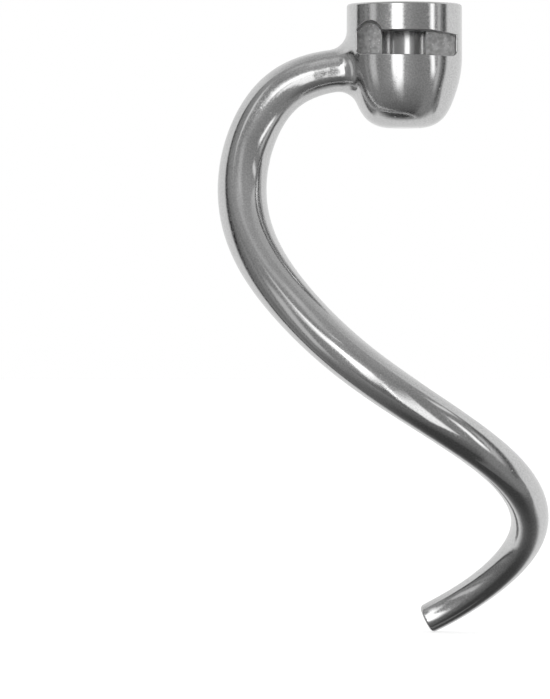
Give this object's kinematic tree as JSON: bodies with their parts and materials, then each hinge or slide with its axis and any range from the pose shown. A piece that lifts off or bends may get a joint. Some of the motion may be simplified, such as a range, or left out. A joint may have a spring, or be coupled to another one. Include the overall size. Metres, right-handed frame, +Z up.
{
  "type": "stand mixer dough hook",
  "caption": "Polished steel spiral dough hook: a cup-shaped hub with a blind shaft socket and bayonet pin pocket, and a round tapering arm wound once round the shaft axis.",
  "frame": {"origin": "on the shaft axis, in the plane of the hub's rim, at the mouth of the shaft socket", "axes": "+Z up along the shaft axis, out of the socket's mouth; -X the way the arm leaves the hub; -Y the front, with the pin pocket"},
  "size_m": [0.0933, 0.0805, 0.1787],
  "materials": {
    "steel": "polished"
  },
  "bodies": {
    "root": {"dough_hook": "steel"}
  },
  "joints": []
}
